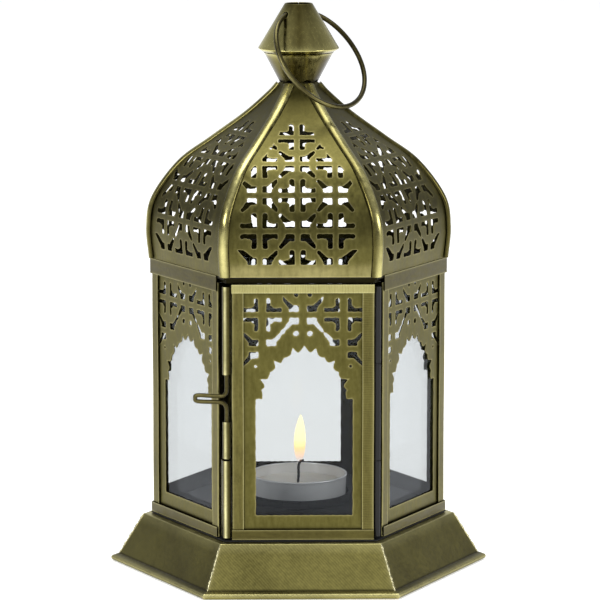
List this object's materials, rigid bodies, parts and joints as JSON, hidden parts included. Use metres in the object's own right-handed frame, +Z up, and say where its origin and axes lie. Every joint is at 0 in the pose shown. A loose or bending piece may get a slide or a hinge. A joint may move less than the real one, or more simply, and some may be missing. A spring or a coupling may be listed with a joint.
{
  "type": "hanging lantern",
  "caption": "Hexagonal antique-brass candle lantern with pierced glazed walls, a latched door, a pierced onion dome and a wire hanging ring.",
  "frame": {"origin": "centre of the base's underside", "axes": "+Z up the lantern's axis to the finial, -Y out through the door, +X to the right of someone facing the door"},
  "size_m": [0.1468, 0.1274, 0.2182],
  "materials": {
    "antique_brass": "olive antique patina, brushed, bright on worn edges",
    "worn_brass": "antique brass rubbed bright",
    "blackened_steel": "matt blackened",
    "clear_glass": "clear float glass with cut edges",
    "candle_cup_aluminium": "pressed foil, satin",
    "candle_wax": "white paraffin wax, matt; matte_plastic stands in for wax",
    "charred_wick": "charred braided cotton"
  },
  "bodies": {
    "lantern": {"base_panel_1": "antique_brass", "base_panel_2": "antique_brass", "base_panel_3": "antique_brass", "base_panel_4": "antique_brass", "base_panel_5": "antique_brass", "base_panel_6": "antique_brass", "bottom_band": "antique_brass", "candle_holder": "blackened_steel", "corner_post_1": "antique_brass", "corner_post_2": "antique_brass", "corner_post_3": "antique_brass", "corner_post_4": "antique_brass", "corner_post_5": "antique_brass", "corner_post_6": "antique_brass", "dome_gore_1": "antique_brass", "dome_gore_2": "antique_brass", "dome_gore_3": "antique_brass", "dome_gore_4": "antique_brass", "dome_gore_5": "antique_brass", "dome_gore_6": "antique_brass", "dome_rib_1": "worn_brass", "dome_rib_2": "worn_brass", "dome_rib_3": "worn_brass", "dome_rib_4": "worn_brass", "dome_rib_5": "worn_brass", "dome_rib_6": "worn_brass", "finial_cap": "antique_brass", "finial_lower_cone": "antique_brass", "finial_upper_cone": "antique_brass", "floor_pan": "blackened_steel", "frame_knuckle_low": "blackened_steel", "frame_knuckle_top": "blackened_steel", "hinge_pin": "blackened_steel", "latch_keeper": "worn_brass", "side_pane_1": "clear_glass", "side_pane_2": "clear_glass", "side_pane_3": "clear_glass", "side_pane_4": "clear_glass", "side_pane_5": "clear_glass", "side_sheet_1": "antique_brass", "side_sheet_2": "antique_brass", "side_sheet_3": "antique_brass", "side_sheet_4": "antique_brass", "side_sheet_5": "antique_brass", "top_band": "antique_brass", "top_frame": "antique_brass"},
    "door": {"door_stile_left": "antique_brass", "door_stile_right": "antique_brass", "door_rail_top": "antique_brass", "door_rail_bottom": "antique_brass", "door_sheet": "antique_brass", "door_pane": "clear_glass", "door_knuckle": "blackened_steel", "latch_barrel_top": "worn_brass", "latch_barrel_mid": "worn_brass"},
    "latch": {"latch_wire": "worn_brass"},
    "ring": {"hanging_ring": "antique_brass"},
    "tealight": {"tealight_cup": "candle_cup_aluminium", "tealight_wax": "candle_wax", "tealight_wick": "charred_wick"}
  },
  "joints": [
    {"name": "door_swing", "type": "hinge", "parent": "lantern", "child": "door", "pos_m": [0.02901, -0.0483, 0.0685], "axis": [0, 0, 1], "range_deg": [0, 115]},
    {"name": "latch_slide", "type": "slide", "parent": "door", "child": "latch", "axis": [0, 0, 1], "range_m": [-0.0035, 0.005]},
    {"name": "ring_swing", "type": "hinge", "parent": "lantern", "child": "ring", "pos_m": [0, 0, 0.214], "axis": [-0.6871, -0.7266, 0], "range_deg": [0, 290.4]},
    {"name": "tealight_lift", "type": "slide", "parent": "lantern", "child": "tealight", "axis": [0, 0, 1], "range_m": [0, 0.025]}
  ]
}
